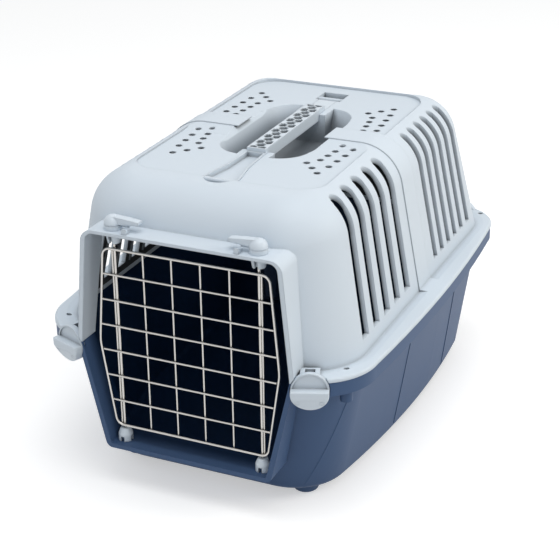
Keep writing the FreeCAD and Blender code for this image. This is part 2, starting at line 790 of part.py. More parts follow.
def make_lever():
    """Domed cap with an arm that thins towards its tip, and a thin web under it that rides up the ramp."""
    crown = Part.makeSphere(lock_base_radius, vec(0, 0, lever_under + dome_cap_height - lock_base_radius))
    drum = cylinder(lock_base_radius, (0, 0, lever_under), (0, 0, 1), dome_cap_height - lock_base_radius)
    drum = fuse([drum, crown.common(box((-far, -far, lever_under), (far, far, far)))])
    half = lever_width / 2
    arm_top = lever_under + dome_cap_height - lever_crown_drop
    arm_tip = lever_under + lever_tip_rise
    knee_top = arm_top - lever_knee_drop
    crown_line = Part.Arc(vec(0, -half, arm_top), vec(lever_knee, -half, knee_top),
                          vec(lever_length, -half, arm_tip + lever_thickness)).toShape()
    under_line = Part.Arc(vec(lever_length, -half, arm_tip),
                          vec(lever_knee, -half, lever_under + lever_knee_rise),
                          vec(0, -half, lever_under + lever_root_rise)).toShape()
    tip = Part.LineSegment(vec(lever_length, -half, arm_tip + lever_thickness), vec(lever_length, -half, arm_tip))
    root = Part.LineSegment(vec(0, -half, lever_under + lever_root_rise), vec(0, -half, arm_top))
    wire = Part.Wire([crown_line, tip.toShape(), under_line, root.toShape()])
    arm = Part.Face(wire).extrude(vec(0, lever_width, 0))
    web = box((lock_base_radius + web_near, -lever_web / 2, ledge_top + web_clearance),
              (lever_knee, lever_web / 2, knee_top - lever_thickness / 2))
    bore = cylinder(plunger_radius + fit_clearance, (0, 0, 0), (0, 0, 1),
                    lever_under + dome_cap_height - plunger_cover + seam_clearance)
    return fuse([drum, arm, web]).cut(bore)


def make_bottom_bush():
    """Slotted, tapered cup over a post on the doorway floor, bored for the foot of the door's rod."""
    cup = fuse([cylinder(bush_radius, (0, 0, bush_foot), (0, 0, 1), bush_straight),
                Part.makeCone(bush_radius, bush_tip_radius, bush_height - bush_straight,
                              vec(0, 0, bush_foot + bush_straight))])
    recess = cylinder(bush_boss_radius + fit_clearance, (0, 0, 0), (0, 0, 1),
                      doorway_floor_height + bush_boss_height + seam_clearance)
    bore = cylinder(rod_radius + fit_clearance, (0, 0, 0), (0, 0, 1), far)
    slots = [box((-far, -slot_width / 2, 0), (far, slot_width / 2, bush_foot + bush_straight - bush_slot_cover)),
             box((-slot_width / 2, -far, 0), (slot_width / 2, far, bush_foot + bush_straight - bush_slot_cover))]
    return cup.cut(recess).cut(bore).cut(slots[0]).cut(slots[1])


def make_rod(side):
    return cylinder(rod_radius, (side * lock_half_spacing, lock_y, rod_foot), (0, 0, 1), rod_top - rod_foot)


def door_half_width(height):
    """Half width of the door's frame wire at a height."""
    if height > split_height:
        share = (height - split_height) / (door_top_height - split_height)
        return door_middle_half_width + (door_top_half_width - door_middle_half_width) * share
    share = (split_height - height) / (split_height - door_bottom_height)
    return door_middle_half_width + (door_bottom_half_width - door_middle_half_width) * share


def make_frame_wire():
    """Bent wire round the edge of the door, widest at the rim."""
    outline = [(door_top_half_width, door_top_height), (door_middle_half_width, split_height),
               (door_bottom_half_width, door_bottom_height)]
    right = [vec(x, frame_wire_y, z) for x, z in outline]
    left = [vec(-x, frame_wire_y, z) for x, z in reversed(outline)]
    radii = [door_corner_radius, middle_corner_radius, door_corner_radius]
    path = rounded_wire(right + left, radii + radii[::-1])
    start = path.Edges[0]
    at = start.valueAt(start.FirstParameter)
    along = start.tangentAt(start.FirstParameter)
    ring = Part.Wire(Part.makeCircle(frame_wire_radius, at, along))
    return path.makePipeShell([ring], True, False, 2)


def make_row_wire(index):
    """One of the level wires, counted from the top, butted to the frame wire at both ends."""
    height = door_top_height - (index + 1) * row_pitch
    half = door_half_width(height) - frame_wire_radius
    near_bend = abs(height - split_height) < middle_corner_radius / 3
    half -= row_end_relief if near_bend else 0.0
    return cylinder(wire_radius, (-half, row_y, height), (1, 0, 0), 2 * half)


def column_places():
    """Upright thin wires: evenly spaced between the rods, and one beside each rod."""
    pitch = 2 * lock_half_spacing / (column_count + 1)
    spaced = [-lock_half_spacing + (i + 1) * pitch for i in range(column_count)]
    beside = lock_half_spacing + rod_radius + wire_radius + wire_gap
    return [-beside] + spaced + [beside]


def make_column_wire(x):
    length = door_top_height - door_bottom_height
    return cylinder(wire_radius, (x, column_y, door_bottom_height), (0, 0, 1), length)


def make_knob():
    """Turn knob: a rimmed disc whose lower half stands out as a sloping grip block, on a plain shank."""
    back = -knob_gap
    face = back - knob_disc_thickness
    disc = cylinder(knob_radius, (0, back, 0), (0, -1, 0), knob_disc_thickness + knob_rim_rise)
    disc = disc.cut(cylinder(knob_radius - knob_rim_width, (0, face, 0), (0, -1, 0), far))
    block = cylinder(knob_radius, (0, back, 0), (0, -1, 0), knob_grip_height)
    block = block.common(box((-far, -far, -far), (far, far, knob_ridge_width / 2)))
    slope = [vec(-far, face - knob_grip_foot, -knob_radius), vec(-far, face - far, -knob_radius),
             vec(-far, back - knob_grip_height, -knob_ridge_width)]
    wedge = Part.Face(Part.makePolygon(slope + slope[:1])).extrude(vec(2 * far, 0, 0))
    block = block.cut(wedge)
    rounded = [e for e in block.Edges if e.BoundBox.YMax < face and e.Length > knob_edge_radius]
    block = block.makeFillet(knob_edge_radius, rounded)
    shank = cylinder(knob_shank_radius, (0, back, 0), (0, 1, 0), knob_gap + knob_shank_length)
    return fuse([disc, block, shank])


def make_parts():
    """Every piece by its name."""
    parts = {"lower_shell": make_lower_shell(), "upper_shell": make_upper_shell(),
             "carry_handle": make_carry_handle(), "door_frame_wire": make_frame_wire()}
    for name, side in (("left", -1), ("right", 1)):
        parts[name + "_guide_sleeve"] = lock_place(make_guide_sleeve(), side)
        parts[name + "_lock_plunger"] = lock_place(make_plunger(), side)
        parts[name + "_lock_lever"] = lock_place(make_lever(), side)
        parts[name + "_bottom_bush"] = lock_place(make_bottom_bush(), side)
        parts[name + "_door_rod"] = make_rod(side)
    for i in range(row_count):
        parts["door_row_wire_%d" % (i + 1)] = make_row_wire(i)
    for i, x in enumerate(column_places()):
        parts["door_column_wire_%d" % (i + 1)] = make_column_wire(x)
    for name, spot in knob_spots().items():
        parts[name + "_turn_knob"] = set_at_knob(make_knob(), spot)
    return parts


def main():
    os.makedirs("parts", exist_ok=True)
    for name, shape in make_parts().items():
        shape.exportStep("parts/%s.step" % name)
        print(name, len(shape.Solids), round(shape.Volume, 1), shape.isValid())


main()
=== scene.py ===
"""Looks of a moulded pet carrier with a wire door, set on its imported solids."""
import json
import math

import bmesh
import bpy
from bpy.props import FloatProperty, FloatVectorProperty, PointerProperty
from mathutils import Matrix, Vector


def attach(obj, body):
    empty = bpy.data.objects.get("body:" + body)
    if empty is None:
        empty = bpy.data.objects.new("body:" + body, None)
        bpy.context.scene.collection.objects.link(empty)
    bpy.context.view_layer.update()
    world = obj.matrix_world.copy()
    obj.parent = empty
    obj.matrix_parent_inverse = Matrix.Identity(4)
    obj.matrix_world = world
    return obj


bl_info = {
    "name": "Pet Carrier Looks",
    "version": (1, 0, 0),
    "blender": (4, 5, 0),
    "location": "View3D > Sidebar > Carrier",
    "description": "Moulded plastic, plated wire and a plain studio for a small pet carrier",
    "category": "Object",
}

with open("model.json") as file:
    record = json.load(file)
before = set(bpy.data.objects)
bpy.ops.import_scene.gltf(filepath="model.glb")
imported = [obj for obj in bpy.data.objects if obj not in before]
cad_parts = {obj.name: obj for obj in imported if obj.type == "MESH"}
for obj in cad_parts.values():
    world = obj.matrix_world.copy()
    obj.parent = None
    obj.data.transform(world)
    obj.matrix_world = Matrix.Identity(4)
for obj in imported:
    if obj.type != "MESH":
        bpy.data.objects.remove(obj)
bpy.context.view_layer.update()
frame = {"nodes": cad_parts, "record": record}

MM = 0.001
CORNERS = ("front_left", "front_right", "rear_left", "rear_right")
SIDES = ("left", "right")
LOCK_NODES = ("guide_sleeve", "lock_plunger", "lock_lever", "bottom_bush")

# Ring marks on the knobs
MARK_RADIUS = 2.1 * MM
MARK_THICKNESS = 0.25 * MM
MARK_SPREAD = 11.0 * MM
MARK_DROP = 9.0 * MM
MARK_STAND = 10.5 * MM
MARK_LEAN = math.radians(19.8)
MARK_STEPS_AROUND = 28
MARK_STEPS_ACROSS = 8

# Outer skin of the hood, which the depth of the side slots is measured from
DOME_FOOT_HEIGHT = 150.0 * MM
DOME_FOOT_HALF_WIDTH = 150.0 * MM
DOME_TOP_HALF_WIDTH = 122.0 * MM
ROOF_HEIGHT = 301.0 * MM
ROOF_EDGE_RADIUS = 44.0 * MM

# Part of the hood that the side slots lie in, and the depth at which the painted shade on their walls is full
SLOTS_FRONT = -165.0 * MM
SLOTS_REAR = 175.0 * MM
SLOTS_INMOST = 95.0 * MM
SLOT_PAINTED_SHADE_REACH = 7.5 * MM
SLOT_WALL_FACING = 0.5

# Hand hollow in the roof, whose colour is darkened with depth as painted shade
HOLLOW_HALF_WIDTH = 47.5 * MM
HOLLOW_FRONT = -75.5 * MM
HOLLOW_REAR = 89.5 * MM
HOLLOW_RIM = 297.5 * MM
HOLLOW_FLOOR = 267.0 * MM

# Inner faces of the shells, which carry painted shade: the heights they lie between, and where the painted
# shade sets in behind the doorway
HOOD_CABIN = {
    "Lowest": 156.0 * MM,
    "Highest": 262.0 * MM,
    "Fade Start": -185.0 * MM,
    "Fade End": -140.0 * MM,
}
TUB_CABIN = {
    "Lowest": 11.0 * MM,
    "Highest": 200.0 * MM,
    "Fade Start": -226.0 * MM,
    "Fade End": -205.0 * MM,
}
CABIN_MIDDLE = (0.0, 0.0, 150.0 * MM)
INWARD_TURN = -0.3
CROSS_WALL_TURN = 0.9
CROSS_WALL_INMOST = 100.0 * MM

# Plastic
HOOD_ROUGHNESS = 0.5
HOOD_SHINE = 0.25
TUB_ROUGHNESS = 0.5
TUB_SHINE = 0.22
FITTING_ROUGHNESS = 0.42
FITTING_SHINE = 0.5
TONE_DRIFT = 0.03
GLOSS_DRIFT = 0.05
GRAIN_STRENGTH = 0.12
GRAIN_HEIGHT = 0.2 * MM

# Noise and samples of the shared groups
GRAIN_DETAIL = 2.0
DRIFT_DETAIL = 3.0
EDGE_SAMPLES = 6
CREVICE_SAMPLES = 8

# Painted shade in inner corners and crevices: how closed in a face is where the painted shade starts and
# where it is full, and the share of colour left there
INNER_CORNERS = {"Start": 0.12, "End": 0.6}
INNER_CORNER_PAINTED_SHADE = 0.72
CREVICES = {"Start": 0.55, "End": 0.85}
CREVICE_PAINTED_SHADE = 0.2

# Plated wire
WIRE_GRAIN = {"Grain Scale": 2500.0, "Drift Scale": 60.0}
WIRE_DARKEST = 0.92
WIRE_LIGHTEST = 1.06
WIRE_SMOOTHEST = 0.16
WIRE_ROUGHEST = 0.26
WIRE_GRAIN_STRENGTH = 0.08
WIRE_GRAIN_HEIGHT = 0.1 * MM
# Painted shade on the wire's flanks, where they turn away from the view: its blend, start, full point and the
# share of colour left
FLANK_BLEND = 0.5
FLANK_START = 0.3
FLANK_END = 0.95
FLANK_PAINTED_SHADE = 0.3

# Studio, in metres
WHITE = (1.0, 1.0, 1.0)
WARM_WHITE = (1.0, 0.94, 0.85)
SKY_COLOUR = (0.965, 0.985, 1.0)
FLOOR_COLOUR = (0.8, 0.8, 0.8)
FLOOR_ROUGHNESS = 0.9
FLOOR_RADIUS = 8.0
FLOOR_SIDES = 64
TOP_LAMP_PLACE = (0.2, -0.35, 1.9)
TOP_LAMP_SIZE = 1.4
FILL_LAMP_PLACE = (0.5, -1.7, 1.3)
FILL_LAMP_SIZE = 1.0
SIDE_LAMP_PLACE = (1.7, 0.5, 1.1)
SIDE_LAMP_SIZE = 1.0

# Camera: the point it turns about, its sensor and shifts, and the nearest and farthest it sees
CARRIER_MIDDLE = Vector((0.0, 7.0 * MM, 160.0 * MM))
SENSOR_WIDTH = 36.0
SHIFT_ACROSS = -0.0155
SHIFT_UP = -0.0434
NEAREST = 0.05
FARTHEST = 60.0


class CarrierFinish(bpy.types.PropertyGroup):
    """Colours, painted shades and surface sizes of the carrier."""

    pale_colour: FloatVectorProperty(
        name="Pale plastic", description="Colour of the upper shell, grip, locks and knobs",
        subtype="COLOR", size=3, min=0, max=1, default=(0.62, 0.69, 0.76))
    blue_colour: FloatVectorProperty(
        name="Blue plastic", description="Colour of the lower shell's outside",
        subtype="COLOR", size=3, min=0, max=1, default=(0.052, 0.096, 0.193))
    # Painted shade: a dark colour on the hood's inner faces, which are the same pale plastic lying in shade
    hood_inside_painted_shade: FloatVectorProperty(
        name="Inside of the hood", description="Painted shade on the upper shell's inner faces",
        subtype="COLOR", size=3, min=0, max=1, default=(0.05, 0.053, 0.057))
    # Painted shade: a dark navy on the tub's inner faces, far darker than the blue plastic, where it lies in
    # shade
    tub_inside_painted_shade: FloatVectorProperty(
        name="Inside of the tub", description="Painted shade on the lower shell's inner faces",
        subtype="COLOR", size=3, min=0, max=1, default=(0.003, 0.016, 0.05))
    wire_colour: FloatVectorProperty(
        name="Wire plating", description="Colour of the door's plated wire",
        subtype="COLOR", size=3, min=0, max=1, default=(0.55, 0.535, 0.515))
    grain_size: FloatProperty(
        name="Grain size", description="Size of the fine grain of the moulds",
        subtype="DISTANCE", default=0.0007, min=0.0001, max=0.01)
    edge_radius: FloatProperty(
        name="Edge radius", description="Rounding of the moulded edges",
        subtype="DISTANCE", default=0.0018, min=0.0, max=0.01)
    tub_edge_radius: FloatProperty(
        name="Edge radius of the tub", description="Rounding of the lower shell's edges and shallow ribs",
        subtype="DISTANCE", default=0.0002, min=0.0, max=0.01)
    # Painted shade in crevices: how far it looks for faces that close in
    crevice_reach: FloatProperty(
        name="Crevice reach", description="How far apart faces still shade each other",
        subtype="DISTANCE", default=0.4, min=0.001, max=1.0)
    # Painted shade in inner corners: how wide it spreads
    corner_reach: FloatProperty(
        name="Corner reach", description="Width of the soft shade in the inner corners",
        subtype="DISTANCE", default=0.008, min=0.0005, max=0.05)
    # Painted shade at the bottom of the hand hollow
    hollow_painted_shade: FloatProperty(
        name="Shade in the hollow", description="Share of the colour left at the bottom of the hand hollow",
        default=0.3, min=0, max=1)
    # Painted shade at the inner edge of the side slots
    slot_painted_shade: FloatProperty(
        name="Shade in the slots", description="Share of the colour left at the inner edge of the side slots",
        default=0.15, min=0, max=1)


class CarrierStage(bpy.types.PropertyGroup):
    """Camera and light of the plain studio."""

    azimuth: FloatProperty(
        name="Azimuth", description="Turn of the camera to the right of the door",
        subtype="ANGLE", default=math.radians(24.15))
    elevation: FloatProperty(
        name="Elevation", description="Height angle of the camera",
        subtype="ANGLE", default=math.radians(23.53))
    roll: FloatProperty(
        name="Roll", description="Tilt of the camera about its line of sight",
        subtype="ANGLE", default=math.radians(-0.63))
    distance: FloatProperty(
        name="Distance", description="From the camera to the middle of the carrier",
        subtype="DISTANCE", default=1.566, min=0.5)
    lens: FloatProperty(
        name="Lens", description="Focal length", unit="CAMERA", default=96.43, min=10)
    floor_lift: FloatProperty(
        name="Floor lift", description="Share of plain white in the floor's look",
        default=0.45, min=0, max=1)
    sky_strength: FloatProperty(
        name="Sky strength", description="Even light from all round", default=0.52, min=0)
    top_strength: FloatProperty(
        name="Top light", description="Power of the broad lamp overhead",
        unit="POWER", default=13.5, min=0)
    fill_strength: FloatProperty(
        name="Front fill", description="Power of the weak lamp in front",
        unit="POWER", default=2.0, min=0)
    side_strength: FloatProperty(
        name="Side light", description="Power of the broad lamp on the right",
        unit="POWER", default=12.0, min=0)


def place(nodes, kind, label, **settings):
    """Add a node with a label and set its plain properties."""
    node = nodes.new(kind)
    node.label = label
    for key, value in settings.items():
        setattr(node, key, value)
    return node


def feed(tree, target, value):
    """Set a socket to a plain value, or link another socket to it."""
    if isinstance(value, bpy.types.NodeSocket):
        tree.links.new(value, target)
    else:
        target.default_value = value


def feed_named(tree, node, values):
    """Feed several inputs of a node by their names."""
    for key, value in values.items():
        feed(tree, node.inputs[key], value)


def calculate(tree, label, operation, *values):
    """One step of arithmetic on plain values and sockets."""
    node = place(tree.nodes, "ShaderNodeMath", label, operation=operation)
    for target, value in zip(node.inputs, values):
        feed(tree, target, value)
    return node.outputs["Value"]


def calculate_vector(tree, label, operation, *values):
    """One step of arithmetic on vectors."""
    node = place(tree.nodes, "ShaderNodeVectorMath", label, operation=operation)
    for target, value in zip(node.inputs, values):
        feed(tree, target, value)
    return node.outputs


def parts_of(tree, label, vector):
    """The X, Y and Z parts of a vector."""
    node = place(tree.nodes, "ShaderNodeSeparateXYZ", label)
    feed(tree, node.inputs[0], vector)
    return node.outputs


def kept_where(tree, mask, tests):
    """A mask that stays only where every one of the named tests holds."""
    for label, test in tests:
        mask = calculate(tree, label, "MULTIPLY", mask, test)
    return mask


def smooth_step(tree, label, value, start, end):
    """Smooth change from 0 where the value is at the start to 1 where it is at the end."""
    node = place(tree.nodes, "ShaderNodeMapRange", label, interpolation_type="SMOOTHSTEP")
    feed_named(tree, node, {"Value": value, "From Min": start, "From Max": end})
    return node.outputs["Result"]


def drifting(tree, label, value, low, high):
    """Number that goes from low to high as the value goes from 0 to 1."""
    node = place(tree.nodes, "ShaderNodeMapRange", label)
    feed_named(tree, node, {"Value": value, "To Min": low, "To Max": high})
    return node.outputs["Result"]


def blended(tree, label, factor, first, second):
    """Colour that goes from the first to the second as the factor goes from 0 to 1."""
    node = place(tree.nodes, "ShaderNodeMix", label, data_type="RGBA")
    feed_named(tree, node, {"Factor": factor, "A": first, "B": second})
    return node.outputs["Result"]


def share_of(colour, share=1.0):
    """A share of a colour, no brighter than white, as a colour socket takes it."""
    return (*[min(1.0, part * share) for part in colour], 1.0)


def group_once(name, sizes, results, build):
    """The named group, made with a socket for each size and result the first time it is asked for."""
    group = bpy.data.node_groups.get(name)
    if group:
        return group
    group = bpy.data.node_groups.new(name, "ShaderNodeTree")
    for label, value in sizes.items():
        kind = "NodeSocketVector" if isinstance(value, tuple) else "NodeSocketFloat"
        group.interface.new_socket(name=label, in_out="INPUT", socket_type=kind).default_value = value
    for label in results:
        kind = "NodeSocketVector" if label == "Normal" else "NodeSocketFloat"
        group.interface.new_socket(name=label, in_out="OUTPUT", socket_type=kind)
    inputs = place(group.nodes, "NodeGroupInput", "Sizes")
    outputs = place(group.nodes, "NodeGroupOutput", "Results")
    feed_named(group, outputs, dict(zip(results, build(group, inputs.outputs))))
    return group


def place_group(tree, label, group, sizes=None):
    """Place a shared group in a material, with the sizes that differ from the group's own."""
    node = place(tree.nodes, "ShaderNodeGroup", label, node_tree=group)
    feed_named(tree, node, sizes or {})
    return node


def build_grain(group, sizes):
    """Fine moulded grain for bump, and a slow drift for tone and gloss."""
    where = place(group.nodes, "ShaderNodeTexCoord", "Place on the piece").outputs["Object"]
    results = []
    for label, detail in (("Grain", GRAIN_DETAIL), ("Drift", DRIFT_DETAIL)):
        noise = place(group.nodes, "ShaderNodeTexNoise", label)
        feed_named(group, noise, {"Vector": where, "Scale": sizes[label + " Scale"], "Detail": detail})
        results.append(noise.outputs["Fac"])
    return results


def build_soft_edges(group, sizes):
    """Normals rounded over the moulded edges."""
    rounded = place(group.nodes, "ShaderNodeBevel", "Rounded edge", samples=EDGE_SAMPLES)
    feed(group, rounded.inputs["Radius"], sizes["Radius"])
    return [rounded.outputs["Normal"]]


def build_crevice_painted_shade(group, sizes):
    """Mask for painted shade in the corners, pockets and slots that the piece's own faces close in on."""
    open_sky = place(group.nodes, "ShaderNodeAmbientOcclusion", "Open sky", samples=CREVICE_SAMPLES,
                     only_local=True)
    feed(group, open_sky.inputs["Distance"], sizes["Reach"])
    closed = calculate(group, "Closed in", "SUBTRACT", 1.0, open_sky.outputs["AO"])
    return [smooth_step(group, "Deep", closed, sizes["Start"], sizes["End"])]


def build_cabin_painted_shade(group, sizes):
    """Mask for painted shade on the faces that look into the cabin, between two heights, which fades in
    behind the doorway.
    """
    where = place(group.nodes, "ShaderNodeTexCoord", "Place on the piece").outputs
    at = parts_of(group, "Place", where["Object"])
    faces = parts_of(group, "Direction of the face", where["Normal"])
    outwards = calculate_vector(group, "From the middle", "SUBTRACT", where["Object"], sizes["Middle"])
    unit = calculate_vector(group, "Direction", "NORMALIZE", outwards["Vector"])
    turned = calculate_vector(group, "Turned outwards", "DOT_PRODUCT", unit["Vector"], where["Normal"])
    along = calculate(group, "Along", "ABSOLUTE", faces["Y"])
    sideways = calculate(group, "Sideways", "ABSOLUTE", at["X"])
    looks_along = calculate(group, "Looks along", "GREATER_THAN", along, CROSS_WALL_TURN)
    far_out = calculate(group, "Far out", "GREATER_THAN", sideways, CROSS_WALL_INMOST)
    slot_wall = calculate(group, "Wall of a slot", "MULTIPLY", looks_along, far_out)
    mask = calculate(group, "Not a slot's wall", "SUBTRACT", 1.0, slot_wall)
    inwards = calculate(group, "Inwards", "LESS_THAN", turned["Value"], INWARD_TURN)
    over = calculate(group, "Over", "GREATER_THAN", at["Z"], sizes["Lowest"])
    under = calculate(group, "Under", "LESS_THAN", at["Z"], sizes["Highest"])
    fade = smooth_step(group, "Fades in", at["Y"], sizes["Fade Start"], sizes["Fade End"])
    return [kept_where(group, mask, (("Looks inwards", inwards), ("High enough", over),
                                     ("Low enough", under), ("Behind the doorway", fade)))]


def between_ends(group, at, sizes):
    """Tests of whether a place lies behind a front and before a rear."""
    behind = calculate(group, "Behind", "GREATER_THAN", at["Y"], sizes["Front"])
    before = calculate(group, "Before", "LESS_THAN", at["Y"], sizes["Rear"])
    return ("Behind the front", behind), ("Before the rear", before)


def build_hollow_painted_shade(group, sizes):
    """Mask of painted shade that grows with depth inside the hand hollow of the roof."""
    where = place(group.nodes, "ShaderNodeTexCoord", "Place on the piece").outputs
    at = parts_of(group, "Place", where["Object"])
    depth = smooth_step(group, "Depth", at["Z"], sizes["Rim"], sizes["Floor"])
    sideways = calculate(group, "Sideways", "ABSOLUTE", at["X"])
    middle = calculate(group, "Near the middle", "LESS_THAN", sideways, sizes["Half Width"])
    return [kept_where(group, depth, (("Between the sides", middle), *between_ends(group, at, sizes)))]


def build_slot_painted_shade(group, sizes):
    """Mask of painted shade that grows with depth on the walls of the side slots, from the hood's outer skin
    inwards.
    """
    where = place(group.nodes, "ShaderNodeTexCoord", "Place on the piece").outputs
    at = parts_of(group, "Place", where["Object"])
    faces = parts_of(group, "Direction of the face", where["Normal"])
    slope = (DOME_FOOT_HALF_WIDTH - DOME_TOP_HALF_WIDTH) / (ROOF_HEIGHT - DOME_FOOT_HEIGHT)
    edge_height = ROOF_HEIGHT - ROOF_EDGE_RADIUS
    edge_middle = DOME_TOP_HALF_WIDTH + slope * ROOF_EDGE_RADIUS - ROOF_EDGE_RADIUS * math.hypot(1, slope)
    sideways = calculate(group, "Sideways", "ABSOLUTE", at["X"])
    over = calculate(group, "Over the edge's middle", "SUBTRACT", at["Z"], edge_height)
    rise = calculate(group, "Rise", "MAXIMUM", over, 0.0)
    fall = calculate(group, "Fall", "MINIMUM", over, 0.0)
    middle = calculate(group, "Middle of the wall", "MULTIPLY_ADD", fall, -slope, edge_middle)
    run = calculate(group, "Run", "SUBTRACT", sideways, middle)
    rise_squared = calculate(group, "Rise squared", "MULTIPLY", rise, rise)
    squares = calculate(group, "Squares", "MULTIPLY_ADD", run, run, rise_squared)
    reach = calculate(group, "Reach from the middle", "SQRT", squares)
    under_skin = calculate(group, "Under the skin", "SUBTRACT", ROOF_EDGE_RADIUS, reach)
    depth = smooth_step(group, "Depth", under_skin, 0.0, sizes["Reach"])
    side = calculate(group, "Side", "SIGN", at["X"])
    turned = calculate(group, "Turned sideways", "MULTIPLY", faces["X"], side)
    upwards = calculate(group, "Faces up", "MULTIPLY", faces["Z"], rise)
    facing = calculate(group, "Faces outwards", "MULTIPLY_ADD", turned, run, upwards)
    half_reach = calculate(group, "Half the reach", "MULTIPLY", reach, SLOT_WALL_FACING)
    wall = calculate(group, "Turned away", "LESS_THAN", facing, half_reach)
    outside = calculate(group, "Outside", "GREATER_THAN", sideways, sizes["Inmost"])
    return [kept_where(group, depth, (("Walls only", wall), ("Outer strip", outside),
                                      *between_ends(group, at, sizes)))]


def grain_group():
    """Shared grain of the plastic and the wire."""
    sizes = {"Grain Scale": 1400.0, "Drift Scale": 9.0}
    return group_once("Mould Grain", sizes, ("Height", "Drift"), build_grain)


def soft_edge_group():
    """Shared rounding of the edges."""
    return group_once("Soft Edges", {"Radius": 1.0 * MM}, ("Normal",), build_soft_edges)


def crevice_painted_shade_group():
    """Shared painted shade of corners and crevices."""
    sizes = {"Reach": 0.4, "Start": 0.5, "End": 0.85}
    return group_once("Crevices", sizes, ("Mask",), build_crevice_painted_shade)


def cabin_painted_shade_group():
    """Shared mask of the painted shade on the shells' inner faces."""
    sizes = {"Middle": CABIN_MIDDLE, **HOOD_CABIN}
    return group_once("Cabin Faces", sizes, ("Mask",), build_cabin_painted_shade)


def hollow_painted_shade_group():
    """Mask of the painted shade in the hand hollow."""
    sizes = {"Half Width": HOLLOW_HALF_WIDTH, "Front": HOLLOW_FRONT, "Rear": HOLLOW_REAR,
             "Rim": HOLLOW_RIM, "Floor": HOLLOW_FLOOR}
    return group_once("Hand Hollow", sizes, ("Mask",), build_hollow_painted_shade)


def slot_painted_shade_group():
    """Mask of the painted shade on the side slots' walls."""
    sizes = {"Reach": SLOT_PAINTED_SHADE_REACH, "Front": SLOTS_FRONT, "Rear": SLOTS_REAR, "Inmost": SLOTS_INMOST}
    return group_once("Slot Depth", sizes, ("Mask",), build_slot_painted_shade)


def new_material(name):
    """A new material, its node tree and its shader."""
    material = bpy.data.materials.new(name)
    material.use_nodes = True
    return material, material.node_tree, material.node_tree.nodes["Principled BSDF"]


def moulded_plastic(name, colour, roughness, shine, edge_radius, finish, inner_painted_shade=None, cabin=None,
                    painted_hollow_shades=()):
    """Satin moulded plastic with grain, soft edges, painted shade in corners, crevices and the given hollows
    and, on the shells, painted shade on the inner faces.
    """
    material, tree, shader = new_material(name)
    grain = place_group(tree, "Mould grain", grain_group(), {"Grain Scale": 1.0 / finish.grain_size})
    drift = grain.outputs["Drift"]
    last_colour = blended(tree, "Tone drift", drift, share_of(colour, 1.0 - TONE_DRIFT),
                          share_of(colour, 1.0 + TONE_DRIFT))
    # Painted shade: the colour is darkened in inner corners, in crevices and in the hollows given
    corners = {"Reach": finish.corner_reach, **INNER_CORNERS}
    crevices = {"Reach": finish.crevice_reach, **CREVICES}
    masks = [(place_group(tree, "Inner corners", crevice_painted_shade_group(), corners), INNER_CORNER_PAINTED_SHADE),
             (place_group(tree, "Crevices", crevice_painted_shade_group(), crevices), CREVICE_PAINTED_SHADE)]
    for label, make_group, share in painted_hollow_shades:
        masks.append((place_group(tree, label, make_group()), share))
    for mask, share in masks:
        last_colour = blended(tree, mask.label + " shaded", mask.outputs["Mask"], last_colour,
                              share_of(colour, share))
    # Painted shade: the shells' inner faces take a dark colour behind the doorway
    if cabin:
        inside = place_group(tree, "Cabin faces", cabin_painted_shade_group(), cabin)
        last_colour = blended(tree, "Painted shade inside", inside.outputs["Mask"], last_colour,
                              share_of(inner_painted_shade))
    gloss = drifting(tree, "Gloss drift", drift, roughness - GLOSS_DRIFT, roughness + GLOSS_DRIFT)
    edges = place_group(tree, "Soft edges", soft_edge_group(), {"Radius": edge_radius})
    bump = place(tree.nodes, "ShaderNodeBump", "Grain bump")
    feed_named(tree, bump, {"Strength": GRAIN_STRENGTH, "Distance": GRAIN_HEIGHT,
                            "Height": grain.outputs["Height"], "Normal": edges.outputs["Normal"]})
    feed_named(tree, shader, {"Base Color": last_colour, "Roughness": gloss, "Specular IOR Level": shine,
                              "Normal": bump.outputs["Normal"]})
    return material


def plated_wire(name, finish):
    """Drawn steel wire with bright plating, a fine grain and painted shade on the flanks that turn away from
    the view.
    """
    material, tree, shader = new_material(name)
    grain = place_group(tree, "Plating grain", grain_group(), WIRE_GRAIN)
    drift = grain.outputs["Drift"]
    tone = blended(tree, "Plating tone", drift, share_of(finish.wire_colour, WIRE_DARKEST),
                   share_of(finish.wire_colour, WIRE_LIGHTEST))
    # Painted shade: the colour darkens on the flanks that turn away from the view
    turned_away = place(tree.nodes, "ShaderNodeLayerWeight", "Turned away")
    feed(tree, turned_away.inputs["Blend"], FLANK_BLEND)
    flank = smooth_step(tree, "Flank", turned_away.outputs["Facing"], FLANK_START, FLANK_END)
    colour = blended(tree, "Painted flank shade", flank, tone, share_of(finish.wire_colour, FLANK_PAINTED_SHADE))
    gloss = drifting(tree, "Plating gloss", drift, WIRE_SMOOTHEST, WIRE_ROUGHEST)
    bump = place(tree.nodes, "ShaderNodeBump", "Plating bump")
    feed_named(tree, bump, {"Strength": WIRE_GRAIN_STRENGTH, "Distance": WIRE_GRAIN_HEIGHT,
                            "Height": grain.outputs["Height"]})
    feed_named(tree, shader, {"Base Color": colour, "Roughness": gloss, "Metallic": 1.0,
                              "Normal": bump.outputs["Normal"]})
    return material


def dress(node, material):
    """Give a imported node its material."""
    piece = frame["nodes"][node]
    piece.data.materials.clear()
    piece.data.materials.append(material)


def material_once(name, make, *arguments):
    """The named material, made the first time it is asked for."""
    return bpy.data.materials.get(name) or make(name, *arguments)


def pale_fittings(finish):
    """The plastic that the grip, the locks and the knobs share."""
    return material_once("Pale Fittings", moulded_plastic, finish.pale_colour, FITTING_ROUGHNESS,
                         FITTING_SHINE, finish.edge_radius, finish)


